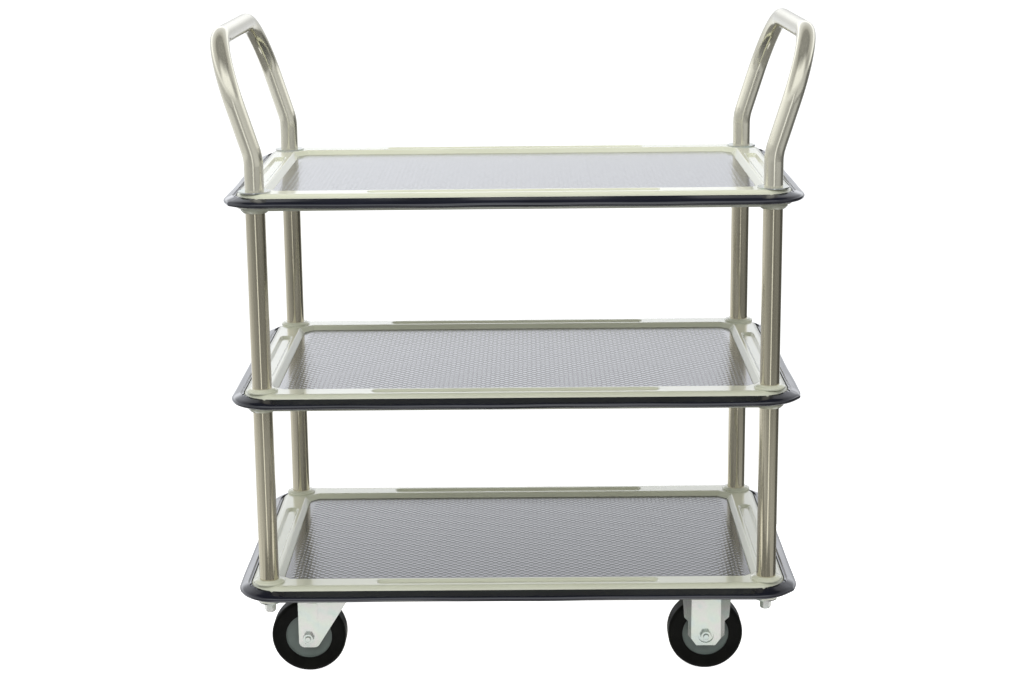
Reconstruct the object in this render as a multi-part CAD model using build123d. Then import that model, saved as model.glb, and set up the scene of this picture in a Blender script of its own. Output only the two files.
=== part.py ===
from build123d import *
import os
from math import floor, hypot, pi, radians, sqrt, tan

# Three-tier platform cart: pressed steel decks on tube posts, a tube handle at each end,
# two swivel casters under the left end and two rigid ones under the right end.
# Millimetres. +X runs along the cart, -Y is the front side, +Z is up, origin on the floor under the middle.

# Decks
PLATFORM_LENGTH = 740.0     # over the bumpers
PLATFORM_WIDTH = 480.0      # over the bumpers
PLATFORM_CORNER = 60.0      # plan radius outside the bumper
DECK_PITCH = 260.0          # from one deck to the next
SHEET = 1.2                 # pressed steel
SKIRT_DEPTH = 20.5          # rim face to the lower edge of the skirt
HEM_HEIGHT = 5.0            # edge of the skirt folded back on itself
RIM_ROLL = 9.0              # rounding between rim and skirt
RIM_WIDTH = 35.0            # skirt face to the edge of the recess
RECESS_DEPTH = 8.0          # rim face to the panel that carries the mat
RECESS_RUN = 8.0            # how far the recess wall leans inwards
RECESS_CHAMFER = 18.0       # cut corner of the recess
RECESS_ROUND = 5.0          # rounding of the recess outline's vertices
PRESS_EDGE = 2.5            # rounding of pressed edges, upper face
PRESS_ROOT = 1.5            # rounding at the foot of pressed walls, upper face
GROOVE_WIDTH = 17.0         # stiffening grooves in the rim
GROOVE_DEPTH = 3.2
LONG_GROOVE = 372.0
SHORT_GROOVE = 240.0
BEAD_LENGTH = 520.0         # stiffening beads in the panel, under the mat
BEAD_WIDTH = 22.0
BEAD_DEPTH = 3.0
BEAD_SPACING = 78.0
BEAD_ROWS = 3
MAT_THICKNESS = 2.5
MAT_CLEARANCE = 1.0         # to the foot of the recess wall

# Bumpers
BUMPER_REACH = 16.0         # out from the skirt
BUMPER_DROP = 5.0           # rim face to the top of the bumper
BUMPER_HEIGHT = 11.0
BUMPER_ROUND = 5.2          # rounding of the outer edges
BUMPER_LIP = 2.6            # thin lip against the skirt
BUMPER_SLIT = 1.2           # slit between the lip and the body
BUMPER_SLIT_DEPTH = 2.5
BUMPER_GAP = 0.1            # to the skirt
NOTCH_WIDTH = 4.0           # relief notches in the lip, where the corner bends begin
NOTCH_ANGLE = 17.0          # from the long side, round the corner
NOTCH_DEPTH = 2.0

# Posts, handles and tie rods
POST_INSET = 26.0           # skirt face to the post's axis, both ways
POST_DIAMETER = 25.4
POST_WALL = 1.5
POST_GAP = 0.1              # radial, post in its socket
SOCKET_DEPTH = 2.0
FOOT_COLLAR_DIAMETER = 41.0
FOOT_COLLAR_HEIGHT = 4.5
FOOT_COLLAR_EDGE = 2.2      # height of its outer edge
FOOT_COLLAR_ROUND = 0.8     # rounding of that edge
FOOT_COLLAR_CROWN = 31.0    # diameter at the top of its cone
HEAD_COLLAR_DIAMETER = 37.0  # flange below the skirt
HEAD_COLLAR_SEAT = 17.0     # diameter of its face against the rim
HEAD_COLLAR_BODY = 30.0     # diameter inside the skirt
HEAD_COLLAR_GAP = 0.4       # skirt to flange
HEAD_COLLAR_FLANGE = 2.0
HEAD_COLLAR_TAPER = 3.0     # height of the cone below the flange
HEAD_COLLAR_END = 31.0      # diameter at the end of the cone
HANDLE_DIAMETER = 24.6
HANDLE_WALL = 1.5
HANDLE_RISE = 42.0          # foot to the corner of the first bend
HANDLE_LEAN = 17.4          # degrees outwards
HANDLE_HEIGHT = 190.0       # rim of the top deck to the bar's axis
HANDLE_BEND = 65.0
HANDLE_CORNER = 85.0        # bend between leg and bar
HANDLE_WASHER_DIAMETER = 41.0
HANDLE_WASHER = 1.6
PLUG_LENGTH = 28.0          # threaded plug brazed into the handle's foot
ROD_DIAMETER = 8.0
ROD_ENGAGEMENT = 24.0       # rod in the handle's plug
ROD_CLEARANCE = 0.5         # radial, in decks, collars and washers
THREAD_GAP = 0.05           # radial, where a thread engages
FLAT_WASHER_DIAMETER = 30.0
FLAT_WASHER = 2.0
SPRING_WASHER_DIAMETER = 14.0
SPRING_WASHER = 2.0
SPRING_WASHER_CUT = 2.5     # gap in the ring
SPRING_WASHER_TURN = 60.0   # degrees from +X to the gap
CAP_NUT_FLATS = 13.0
CAP_NUT_HEIGHT = 12.0
CAP_NUT_ROUND = 4.0
CAP_NUT_CROWN = 3.0         # closed end

# Casters
WHEEL_DIAMETER = 100.0
CASTER_HEIGHT = 130.8       # floor to the face that meets the deck
CASTER_INSET_X = 118.0      # platform edge to the middle of the top plate
CASTER_INSET_Y = 90.0
PLATE_LENGTH = 105.0
PLATE_WIDTH = 64.0
PLATE_CORNER = 8.0
PLATE = 3.0
STUD_SPACING_X = 86.0
STUD_SPACING_Y = 44.0
STUD_DIAMETER = 8.0
STUD_CLEARANCE = 0.5        # radial, in the plate
STUD_LENGTH = 14.0
NUT_FLATS = 13.0
NUT_HEIGHT = 6.5
NUT_BEVEL = 0.8
NUT_FLANGE_DIAMETER = 17.0
NUT_FLANGE = 1.5
FIT_GAP = 0.05              # radial, in riveted and bonded fits
RUNNING_GAP = 0.05          # radial, wheel on its sleeve

# Wheels and axles
TYRE_WIDTH = 32.0
TYRE_SHOULDER = 5.0
HUB_DIAMETER = 62.0
HUB_FACE_WIDTH = 26.0
HUB_LIP = 1.5               # raised edge round the hub's face
HUB_LIP_RISE = 0.8
HUB_RIDGE = 3.0             # ridge that keys the tyre
HUB_RIDGE_WIDTH = 10.0
HUB_BOSS_DIAMETER = 24.0
HUB_END_GAP = 0.5           # hub boss to fork
SLEEVE_DIAMETER = 12.0
SLEEVE_LENGTH = 37.4        # between the fork's inner faces
AXLE_DIAMETER = 8.0
AXLE_CLEARANCE = 0.1        # radial
AXLE_HEAD = 5.3
AXLE_END = 2.5              # bolt end beyond the nut

# Swivel casters
SWIVEL_OFFSET = 30.0        # swivel axis to axle
FORK_SHEET = 2.5
FORK_BEND = 4.0
CROWN_TOP = 107.0           # upper face of the fork's crown
FORK_LEAD = 23.0            # swivel axis to the front edge of the crown
FORK_NOSE = 6.0             # height of that edge
FORK_HEEL = 13.0            # axle to the rear edge of the leg
FORK_TOE = 14.0             # axle to the lower edge of the leg
FORK_FOOT = 25.0            # length of the lower edge
FORK_FOOT_ROUND = 8.0
PAD_WIDTH = 15.5            # shallow pressed pad on the leg
PAD_HEIGHT = 35.0
PAD_RISE = 0.6
PAD_ROUND = 3.0
PAD_AHEAD = 5.5             # axle to the pad's middle, towards the swivel axis
PAD_ABOVE = 13.5            # axle to the pad's lower edge
DOME_DIAMETER = 42.0        # raised race on the crown
DOME_WALL = 3.0
DOME_HOLE = 14.0
DOME_ROUND = 2.0
UPPER_RACE = 31.0           # pitch diameter of the upper balls
UPPER_BALL = 5.0
LOWER_RACE = 24.0
LOWER_BALL = 4.0
RACE_SHARE = 0.2            # of a ball's diameter, sunk in each race
BALL_GAP = 0.05             # ball to race
BALL_SPACING = 0.25         # least gap between neighbouring balls
CUP_DIAMETER = 33.0
CUP_THICKNESS = 3.0
KINGPIN_DIAMETER = 10.0
KINGPIN_HEAD_DIAMETER = 17.0
KINGPIN_HEAD = 5.0
KINGPIN_ROUND = 2.5

# Rigid casters
LEG_FACE = 38.6             # flat width of the leg
LEG_BEND = 3.0
FLANGE_REACH = 16.0         # flared edges, along the cart
FLANGE_ANGLE = 35.0         # degrees outwards
DIMPLE_DIAMETER = 21.0      # seat of the axle nut, pressed inwards
DIMPLE_DEPTH = 2.0
LEG_TOP = 67.0              # outline widths, from the plate down
LEG_SHOULDER = 60.0
LEG_WAIST = 49.0
LEG_TOE = 25.4
SHOULDER_ABOVE = 29.0       # heights over the axle
WAIST_ABOVE = 22.0
CHEEK_ABOVE = 2.0

# Places worked out from the sizes above
SKIRT_X = PLATFORM_LENGTH / 2 - BUMPER_REACH
SKIRT_Y = PLATFORM_WIDTH / 2 - BUMPER_REACH
SKIRT_CORNER = PLATFORM_CORNER - BUMPER_REACH
POST_X = SKIRT_X - POST_INSET
POST_Y = SKIRT_Y - POST_INSET
BOTTOM_RIM = CASTER_HEIGHT + SHEET + RECESS_DEPTH
DECKS = {"bottom": BOTTOM_RIM, "middle": BOTTOM_RIM + DECK_PITCH, "top": BOTTOM_RIM + 2 * DECK_PITCH}
POST_R = POST_DIAMETER / 2
HANDLE_R = HANDLE_DIAMETER / 2
ROD_HOLE = ROD_DIAMETER / 2 + ROD_CLEARANCE
SOCKET_R = POST_R + POST_GAP
HEAD_COLLAR_LOW = SKIRT_DEPTH + HEAD_COLLAR_GAP + HEAD_COLLAR_FLANGE + HEAD_COLLAR_TAPER
CASTER_X = PLATFORM_LENGTH / 2 - CASTER_INSET_X
CASTER_Y = PLATFORM_WIDTH / 2 - CASTER_INSET_Y
AXLE_Z = WHEEL_DIAMETER / 2
PLATE_LOW = CASTER_HEIGHT - PLATE
FORK_INNER = SLEEVE_LENGTH / 2
FORK_OUTER = FORK_INNER + FORK_SHEET
UPPER_BALL_Z = PLATE_LOW - UPPER_BALL * (0.5 - RACE_SHARE)
DOME_TOP = UPPER_BALL_Z - UPPER_BALL * (0.5 - RACE_SHARE)
LOWER_BALL_Z = DOME_TOP - DOME_WALL - LOWER_BALL * (0.5 - RACE_SHARE)
CUP_TOP = LOWER_BALL_Z - LOWER_BALL * (0.5 - RACE_SHARE)
CORNERS = {"front_left": (-1, -1), "front_right": (1, -1), "rear_left": (-1, 1), "rear_right": (1, 1)}
SIDES = {"front": -1, "rear": 1}
OVERRUN = 1.0               # cutting solids pass this far beyond what they cut


def rod(radius, low, high):
    """Upright cylinder between two heights."""
    return Pos(0, 0, low) * extrude(Circle(radius), high - low)


def ring(outer, inner, low, high):
    """Upright tube or washer between two heights."""
    return Pos(0, 0, low) * extrude(Circle(outer) - Circle(inner), high - low)


def turned(points):
    """Solid turned about Z from its half section, given as (radius, height) points."""
    section = make_face(Polyline([(r, 0, z) for r, z in points], close=True))
    return revolve(section, Axis.Z)


def hex_prism(flats, low, high, bevel):
    """Hexagonal bar with the corners of both ends bevelled."""
    envelope = chamfer(rod(flats / sqrt(3), low, high).edges().filter_by(GeomType.CIRCLE), bevel)
    prism = Pos(0, 0, low) * extrude(RegularPolygon(flats / 2, 6, major_radius=False), high - low)
    return prism & envelope


def faces_at(shape, height):
    """Flat level faces of a shape at one height."""
    return [f for f in shape.faces().filter_by(Plane.XY) if abs(f.center().Z - height) < SHEET / 10]


def at_posts(shape, height=0.0):
    """Copies of a shape on the four post axes, as one group."""
    return Compound(children=[Pos(sx * POST_X, sy * POST_Y, height) * shape for sx, sy in CORNERS.values()])


# Decks, mats and bumpers, each with the deck's rim face at height 0

def outline(growth):
    """Plan outline of the skirt, moved outwards by growth."""
    return RectangleRounded(2 * (SKIRT_X + growth), 2 * (SKIRT_Y + growth), SKIRT_CORNER + growth)


def band(outer, inner, low, high):
    """Ring between two outlines of the skirt and two heights."""
    return Pos(0, 0, low) * extrude(outline(outer) - outline(inner), high - low)


def recess_outline(growth):
    """Plan outline of the recess at the rim face, with cut corners, moved outwards by growth."""
    half_x = SKIRT_X - RIM_WIDTH + growth
    half_y = SKIRT_Y - RIM_WIDTH + growth
    cut = RECESS_CHAMFER + growth * (2 - sqrt(2))
    plan = chamfer(Rectangle(2 * half_x, 2 * half_y).vertices(), cut)
    return fillet(plan.vertices(), RECESS_ROUND)


def recess_space(skin):
    """Space over the recessed panel, down to the sheet's upper face or, one skin lower, its underside."""
    lean = RECESS_RUN / RECESS_DEPTH
    spread = skin * hypot(1, lean)
    depth = RECESS_DEPTH + skin
    floor_plan = Pos(0, 0, -depth) * recess_outline(spread - lean * depth)
    mouth_plan = Pos(0, 0, OVERRUN) * recess_outline(spread + lean * OVERRUN)
    return loft([floor_plan, mouth_plan], ruled=True)


def groove_space(length, width, depth, level, skin):
    """Space of a pressed groove with 45 degree sides, below a face at the given level."""
    low = skin * sqrt(2) - depth - skin
    high = skin * sqrt(2) + OVERRUN
    floor_plan = Pos(0, 0, level - depth - skin) * SlotOverall(length + 2 * low, width + 2 * low)
    mouth_plan = Pos(0, 0, level + OVERRUN) * SlotOverall(length + 2 * high, width + 2 * high)
    return loft([floor_plan, mouth_plan], ruled=True)


def press_form(skin):
    """Everything under one face of the sheet: the upper face, or the underside one skin lower."""
    form = Pos(0, 0, -SKIRT_DEPTH) * extrude(outline(-skin), SKIRT_DEPTH - skin)
    form = fillet(form.faces().sort_by(Axis.Z)[-1].edges(), RIM_ROLL - skin)
    form -= recess_space(skin)
    middle = (RIM_WIDTH + RIM_ROLL) / 2
    long_groove = groove_space(LONG_GROOVE, GROOVE_WIDTH, GROOVE_DEPTH, 0, skin)
    short_groove = Rot(0, 0, 90) * groove_space(SHORT_GROOVE, GROOVE_WIDTH, GROOVE_DEPTH, 0, skin)
    for side in (-1, 1):
        form -= Pos(0, side * (SKIRT_Y - middle), 0) * long_groove
        form -= Pos(side * (SKIRT_X - middle), 0, 0) * short_groove
    rim = faces_at(form, -skin)[0]
    form = fillet([e for wire in rim.inner_wires() for e in wire.edges()], PRESS_EDGE - skin)
    floors = faces_at(form, -GROOVE_DEPTH - skin) + faces_at(form, -RECESS_DEPTH - skin)
    form = fillet([e for face in floors for e in face.edges()], PRESS_ROOT + skin)
    bead = groove_space(BEAD_LENGTH, BEAD_WIDTH, BEAD_DEPTH, -RECESS_DEPTH, skin)
    for row in range(BEAD_ROWS):
        form -= Pos(0, (row - (BEAD_ROWS - 1) / 2) * BEAD_SPACING, 0) * bead
    return form


def deck():
    """Pressed deck with a folded hem and a rod hole in each corner."""
    hem = band(-SHEET, -2 * SHEET, -SKIRT_DEPTH, -SKIRT_DEPTH + HEM_HEIGHT)
    pressed = press_form(0) - press_form(SHEET) + hem
    return pressed - at_posts(rod(ROD_HOLE, -SHEET - OVERRUN, OVERRUN)).solids()


def mat():
    """Vinyl mat lying on the panel, its edge cut to the slope of the recess wall."""
    lean = RECESS_RUN / RECESS_DEPTH
    foot = -RECESS_RUN - MAT_CLEARANCE
    lower = Pos(0, 0, -RECESS_DEPTH) * recess_outline(foot)
    upper = Pos(0, 0, MAT_THICKNESS - RECESS_DEPTH) * recess_outline(foot + lean * MAT_THICKNESS)
    return loft([lower, upper], ruled=True)


def bumper():
    """Moulded bumper round the skirt: a rounded body and a thin lip, with a slit between them."""
    high = -BUMPER_DROP
    low = high - BUMPER_HEIGHT
    body = band(BUMPER_REACH, BUMPER_GAP, low, high)
    outer_edges = [e for level in (low, high) for e in faces_at(body, level)[0].outer_wire().edges()]
    body = fillet(outer_edges, BUMPER_ROUND)
    slit = BUMPER_GAP + BUMPER_LIP
    body -= band(slit + BUMPER_SLIT, slit, high - BUMPER_SLIT_DEPTH, high + OVERRUN)
    point = slit + BUMPER_SLIT / 2
    wedge = make_face(Polyline((0, -NOTCH_WIDTH / 2), (point, 0), (0, NOTCH_WIDTH / 2), close=True))
    notch = Pos(SKIRT_CORNER, 0, high - NOTCH_DEPTH) * extrude(wedge, NOTCH_DEPTH + OVERRUN)
    for sx, sy in CORNERS.values():
        bend_centre = Pos(sx * (SKIRT_X - SKIRT_CORNER), sy * (SKIRT_Y - SKIRT_CORNER), 0)
        body -= bend_centre * Rot(0, 0, sy * (90 - sx * NOTCH_ANGLE)) * notch
    return body


# Posts, collars, handles and tie rods

def foot_collar():
    """Flanged collar on a deck, coned up to a socket for the post's foot."""
    socket_low = FOOT_COLLAR_HEIGHT - SOCKET_DEPTH
    collar = turned([
        (ROD_HOLE, 0),
        (FOOT_COLLAR_DIAMETER / 2, 0),
        (FOOT_COLLAR_DIAMETER / 2, FOOT_COLLAR_EDGE),
        (FOOT_COLLAR_CROWN / 2, FOOT_COLLAR_HEIGHT),
        (SOCKET_R, FOOT_COLLAR_HEIGHT),
        (SOCKET_R, socket_low),
        (ROD_HOLE, socket_low),
    ])
    rim = collar.edges().filter_by_position(Axis.Z, FOOT_COLLAR_EDGE, FOOT_COLLAR_EDGE)
    return fillet(rim, FOOT_COLLAR_ROUND)


def head_collar():
    """Stepped collar under a deck's rim, with a flange below the skirt and a socket for the post's head."""
    flange_top = -SKIRT_DEPTH - HEAD_COLLAR_GAP
    flange_low = flange_top - HEAD_COLLAR_FLANGE
    socket_top = SOCKET_DEPTH - HEAD_COLLAR_LOW
    return turned([
        (ROD_HOLE, -SHEET),
        (HEAD_COLLAR_SEAT / 2, -SHEET),
        (HEAD_COLLAR_BODY / 2, -RIM_ROLL),
        (HEAD_COLLAR_BODY / 2, flange_top),
        (HEAD_COLLAR_DIAMETER / 2, flange_top),
        (HEAD_COLLAR_DIAMETER / 2, flange_low),
        (HEAD_COLLAR_END / 2, -HEAD_COLLAR_LOW),
        (SOCKET_R, -HEAD_COLLAR_LOW),
        (SOCKET_R, socket_top),
        (ROD_HOLE, socket_top),
    ])


def post(lower_rim, upper_rim):
    """Tube from the socket on one deck to the socket under the next."""
    low = lower_rim + FOOT_COLLAR_HEIGHT - SOCKET_DEPTH
    high = upper_rim - HEAD_COLLAR_LOW + SOCKET_DEPTH
    return ring(POST_R, POST_R - POST_WALL, low, high)


def handle(end):
    """Tube bent to a leaning hoop across one end; end is -1 on the left and 1 on the right."""
    foot_z = DECKS["top"] + HANDLE_WASHER
    bend_z = foot_z + HANDLE_RISE
    bar_z = DECKS["top"] + HANDLE_HEIGHT
    bar_x = end * (POST_X + (bar_z - bend_z) * tan(radians(HANDLE_LEAN)))
    near = [(end * POST_X, -POST_Y, foot_z), (end * POST_X, -POST_Y, bend_z), (bar_x, -POST_Y, bar_z)]
    far = [(x, -y, z) for x, y, z in reversed(near)]
    path = FilletPolyline(*near, *far, radius=[HANDLE_BEND, HANDLE_CORNER, HANDLE_CORNER, HANDLE_BEND])
    foot = Plane(near[0], z_dir=(0, 0, 1))
    return sweep(foot * Circle(HANDLE_R), path) - sweep(foot * Circle(HANDLE_R - HANDLE_WALL), path)


def cap_nut(low, high):
    """Low hexagon nut with a closed, rounded lower end."""
    envelope = rod(CAP_NUT_FLATS / sqrt(3), low, high)
    envelope = fillet(envelope.faces().sort_by(Axis.Z)[0].edges(), CAP_NUT_ROUND)
    nut = hex_prism(CAP_NUT_FLATS, low, high, NUT_BEVEL) & envelope
    return nut - rod(ROD_DIAMETER / 2 + THREAD_GAP, low + CAP_NUT_CROWN, high + OVERRUN)


def spring_washer(low, high):
    """Washer with a cut through one side."""
    washer = ring(SPRING_WASHER_DIAMETER / 2, ROD_HOLE, low, high)
    gap = Box(SPRING_WASHER_DIAMETER, SPRING_WASHER_CUT, 2 * SPRING_WASHER)
    return washer - Rot(0, 0, SPRING_WASHER_TURN) * Pos(SPRING_WASHER_DIAMETER / 2, 0, low) * gap


# Casters, each modelled as the front one with its plate's centre on Z, its outer side towards -Y

def plate_blank():
    """Caster top plate with its four stud holes."""
    plan = RectangleRounded(PLATE_LENGTH, PLATE_WIDTH, PLATE_CORNER)
    hole = Circle(STUD_DIAMETER / 2 + STUD_CLEARANCE)
    for x, y in stud_places():
        plan -= Pos(x, y) * hole
    return Pos(0, 0, PLATE_LOW) * extrude(plan, PLATE)


def stud_places():
    return [(sx * STUD_SPACING_X / 2, sy * STUD_SPACING_Y / 2) for sx in (-1, 1) for sy in (-1, 1)]


def flange_nut(low):
    """Hexagon nut with a flange on its upper side."""
    high = low + NUT_HEIGHT
    nut = hex_prism(NUT_FLATS, low, high, NUT_BEVEL)
    nut += ring(NUT_FLANGE_DIAMETER / 2, STUD_DIAMETER / 2, high - NUT_FLANGE, high)
    return nut - rod(STUD_DIAMETER / 2 + THREAD_GAP, low - OVERRUN, high + OVERRUN)


def race_groove(pitch, ball, height):
    """Ring groove that a row of balls runs in."""
    return Pos(0, 0, height) * Torus(pitch / 2, ball / 2 + BALL_GAP)


def ball_row(pitch, ball, height):
    """Full row of balls round the swivel axis."""
    count = floor(pi * pitch / (ball + BALL_SPACING))
    first = Pos(pitch / 2, 0, height) * Rot(0, 90, 0) * Sphere(ball / 2)
    return [Rot(0, 0, 360 * i / count) * first for i in range(count)]


def swivel_plate():
    """Top plate with the upper ball race in its underside and the kingpin's hole."""
    bored = plate_blank() - rod(KINGPIN_DIAMETER / 2 + FIT_GAP, PLATE_LOW - OVERRUN, CASTER_HEIGHT + OVERRUN)
    return bored - race_groove(UPPER_RACE, UPPER_BALL, UPPER_BALL_Z)


def swivel_balls():
    rows = ball_row(UPPER_RACE, UPPER_BALL, UPPER_BALL_Z) + ball_row(LOWER_RACE, LOWER_BALL, LOWER_BALL_Z)
    return Compound(children=rows)


def race_cup():
    """Lower race, held up by the kingpin's head."""
    cup = ring(CUP_DIAMETER / 2, KINGPIN_DIAMETER / 2 + FIT_GAP, CUP_TOP - CUP_THICKNESS, CUP_TOP)
    return cup - race_groove(LOWER_RACE, LOWER_BALL, LOWER_BALL_Z)


def kingpin():
    """Rivet through plate, fork and lower race, flush with the plate's upper face."""
    head_top = CUP_TOP - CUP_THICKNESS
    head = rod(KINGPIN_HEAD_DIAMETER / 2, head_top - KINGPIN_HEAD, head_top)
    head = fillet(head.faces().sort_by(Axis.Z)[0].edges(), KINGPIN_ROUND)
    return head + rod(KINGPIN_DIAMETER / 2, head_top, CASTER_HEIGHT)


def leg_holes(x):
    """Axle hole through both legs of a fork."""
    hole = rod(AXLE_DIAMETER / 2 + AXLE_CLEARANCE, -PLATE_WIDTH, PLATE_WIDTH)
    return Pos(x, 0, AXLE_Z) * Rot(90, 0, 0) * hole


def swivel_fork():
    """Sheet bent to a U over the wheel, trailing towards -X, with a raised race on its crown."""
    heel = -SWIVEL_OFFSET - FORK_HEEL
    toe_z = AXLE_Z - FORK_TOE
    height = CROWN_TOP - toe_z
    hung = (Align.CENTER, Align.MAX)
    section = Rectangle(2 * FORK_OUTER, height, align=hung)
    section = fillet(section.vertices().group_by(Axis.Y)[-1], FORK_BEND + FORK_SHEET)
    inside = Pos(0, -FORK_SHEET) * Rectangle(2 * FORK_INNER, height, align=hung)
    section -= fillet(inside.vertices().group_by(Axis.Y)[-1], FORK_BEND)
    length = FORK_LEAD - heel
    channel = extrude(Plane((heel, 0, CROWN_TOP), x_dir=(0, 1, 0), z_dir=(1, 0, 0)) * section, length)
    side = make_face(Polyline(
        (heel, toe_z), (heel + FORK_FOOT, toe_z), (FORK_LEAD, CROWN_TOP - FORK_NOSE),
        (FORK_LEAD, CROWN_TOP), (heel, CROWN_TOP), close=True))
    side = fillet(side.vertices().group_by(Axis.Y)[0], FORK_FOOT_ROUND)
    front_view = Plane((0, FORK_OUTER, 0), x_dir=(1, 0, 0), z_dir=(0, -1, 0))
    bent = channel & extrude(front_view * side, 2 * FORK_OUTER)
    pad_x = -SWIVEL_OFFSET + PAD_AHEAD
    pad_z = AXLE_Z + PAD_ABOVE + PAD_HEIGHT / 2
    pad = extrude(RectangleRounded(PAD_WIDTH, PAD_HEIGHT, PAD_ROUND), PAD_RISE)
    for turn in (90, -90):
        face_y = -FORK_OUTER if turn > 0 else FORK_OUTER
        bent += Pos(pad_x, face_y, pad_z) * Rot(turn, 0, 0) * pad
    bent -= rod(DOME_DIAMETER / 2 - DOME_WALL, CROWN_TOP - FORK_SHEET - OVERRUN, CROWN_TOP + OVERRUN)
    dome = rod(DOME_DIAMETER / 2, CROWN_TOP - FORK_SHEET, DOME_TOP)
    dome = fillet(dome.faces().sort_by(Axis.Z)[-1].edges(), DOME_ROUND)
    dome -= rod(DOME_DIAMETER / 2 - DOME_WALL, CROWN_TOP - FORK_SHEET - OVERRUN, DOME_TOP - DOME_WALL)
    dome -= rod(DOME_HOLE / 2, CROWN_TOP, DOME_TOP + OVERRUN)
    fork = bent + dome
    fork -= race_groove(UPPER_RACE, UPPER_BALL, UPPER_BALL_Z)
    fork -= race_groove(LOWER_RACE, LOWER_BALL, LOWER_BALL_Z)
    return fork - leg_holes(-SWIVEL_OFFSET)


def rigid_leg():
    """Front leg of a rigid fork: flared edges, a pressed seat for the nut, and its own outline."""
    face_y = -FORK_OUTER - DIMPLE_DEPTH
    flare = FLANGE_REACH * tan(radians(FLANGE_ANGLE))
    half = LEG_FACE / 2
    outer_line = FilletPolyline(
        (-half - FLANGE_REACH, face_y - flare), (-half, face_y), (half, face_y),
        (half + FLANGE_REACH, face_y - flare), radius=LEG_BEND)
    section = make_face(offset(outer_line, FORK_SHEET, side=Side.LEFT))
    toe_z = AXLE_Z - FORK_TOE
    blank = Pos(0, 0, toe_z) * extrude(section, PLATE_LOW - toe_z)
    right_edge = [
        (LEG_TOE / 2, toe_z), (LEG_WAIST / 2, AXLE_Z + CHEEK_ABOVE), (LEG_WAIST / 2, AXLE_Z + WAIST_ABOVE),
        (LEG_SHOULDER / 2, AXLE_Z + SHOULDER_ABOVE), (LEG_TOP / 2, PLATE_LOW)]
    left_edge = [(-x, z) for x, z in reversed(right_edge)]
    front_view = Plane((0, 0, 0), x_dir=(1, 0, 0), z_dir=(0, -1, 0))
    outline_face = front_view * make_face(Polyline(*right_edge, *left_edge, close=True))
    leg = blank & extrude(outline_face, PLATE_WIDTH)
    across = Pos(0, 0, AXLE_Z) * Rot(90, 0, 0)
    leg += across * rod(DIMPLE_DIAMETER / 2 + FORK_SHEET, FORK_INNER, FORK_INNER + DIMPLE_DEPTH)
    return leg - across * rod(DIMPLE_DIAMETER / 2, FORK_OUTER, FORK_OUTER + PLATE_WIDTH)


def rigid_fork():
    """Plate and two legs in one piece."""
    leg = rigid_leg()
    return plate_blank() + leg + mirror(leg, Plane.XZ) - leg_holes(0)


def hub():
    """Moulded wheel centre turned about Z, keyed to its tyre by a ridge."""
    face = HUB_FACE_WIDTH / 2
    rim = HUB_DIAMETER / 2
    boss = FORK_INNER - HUB_END_GAP
    bore = SLEEVE_DIAMETER / 2 + RUNNING_GAP
    upper = [
        (bore, boss), (HUB_BOSS_DIAMETER / 2, boss), (HUB_BOSS_DIAMETER / 2, face),
        (rim - HUB_LIP, face), (rim - HUB_LIP, face + HUB_LIP_RISE), (rim, face + HUB_LIP_RISE),
        (rim, HUB_RIDGE_WIDTH / 2), (rim + HUB_RIDGE, HUB_RIDGE_WIDTH / 2)]
    lower = [(r, -z) for r, z in reversed(upper)]
    return turned(upper + lower)


def tyre():
    """Solid rubber tyre turned about Z, moulded over the hub's ridge."""
    seat = HUB_DIAMETER / 2 + FIT_GAP
    key = HUB_RIDGE_WIDTH / 2 + FIT_GAP
    blank = rod(WHEEL_DIAMETER / 2, -TYRE_WIDTH / 2, TYRE_WIDTH / 2)
    blank = fillet(blank.edges().filter_by(GeomType.CIRCLE), TYRE_SHOULDER)
    blank -= rod(seat, -TYRE_WIDTH, TYRE_WIDTH)
    return blank - rod(seat + HUB_RIDGE, -key, key)


def axle_parts():
    """Sleeve, bolt and nut about Z, the nut at the upper end."""
    bolt_r = AXLE_DIAMETER / 2
    nut_end = FORK_OUTER + NUT_HEIGHT
    sleeve = ring(SLEEVE_DIAMETER / 2, bolt_r + AXLE_CLEARANCE, -FORK_INNER, FORK_INNER)
    bolt = rod(bolt_r, -FORK_OUTER, nut_end + AXLE_END)
    bolt = chamfer(bolt.faces().sort_by(Axis.Z)[-1].edges(), NUT_BEVEL)
    bolt += hex_prism(NUT_FLATS, -FORK_OUTER - AXLE_HEAD, -FORK_OUTER, NUT_BEVEL)
    nut = hex_prism(NUT_FLATS, FORK_OUTER, nut_end, NUT_BEVEL) - rod(bolt_r + THREAD_GAP, 0, 2 * nut_end)
    return {"axle_sleeve": sleeve, "axle_bolt": bolt, "axle_nut": nut}


# Assembly

def tie_parts():
    """Rods, plugs, washers and nuts that hold the decks, posts and handles together."""
    washer_top = DECKS["bottom"] - HEAD_COLLAR_LOW
    spring_top = washer_top - FLAT_WASHER
    nut_top = spring_top - SPRING_WASHER
    nut_low = nut_top - CAP_NUT_HEIGHT
    plug_low = DECKS["top"] + HANDLE_WASHER
    plug_r = HANDLE_R - HANDLE_WALL - FIT_GAP
    return {
        "tie_rods": rod(ROD_DIAMETER / 2, nut_low + CAP_NUT_CROWN, plug_low + ROD_ENGAGEMENT),
        "handle_plugs": ring(plug_r, ROD_DIAMETER / 2 + THREAD_GAP, plug_low, plug_low + PLUG_LENGTH),
        "handle_washers": ring(HANDLE_WASHER_DIAMETER / 2, ROD_HOLE, DECKS["top"], plug_low),
        "tie_flat_washers": ring(FLAT_WASHER_DIAMETER / 2, ROD_HOLE, spring_top, washer_top),
        "tie_spring_washers": spring_washer(nut_top, spring_top),
        "tie_cap_nuts": cap_nut(nut_low, nut_top),
    }


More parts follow.
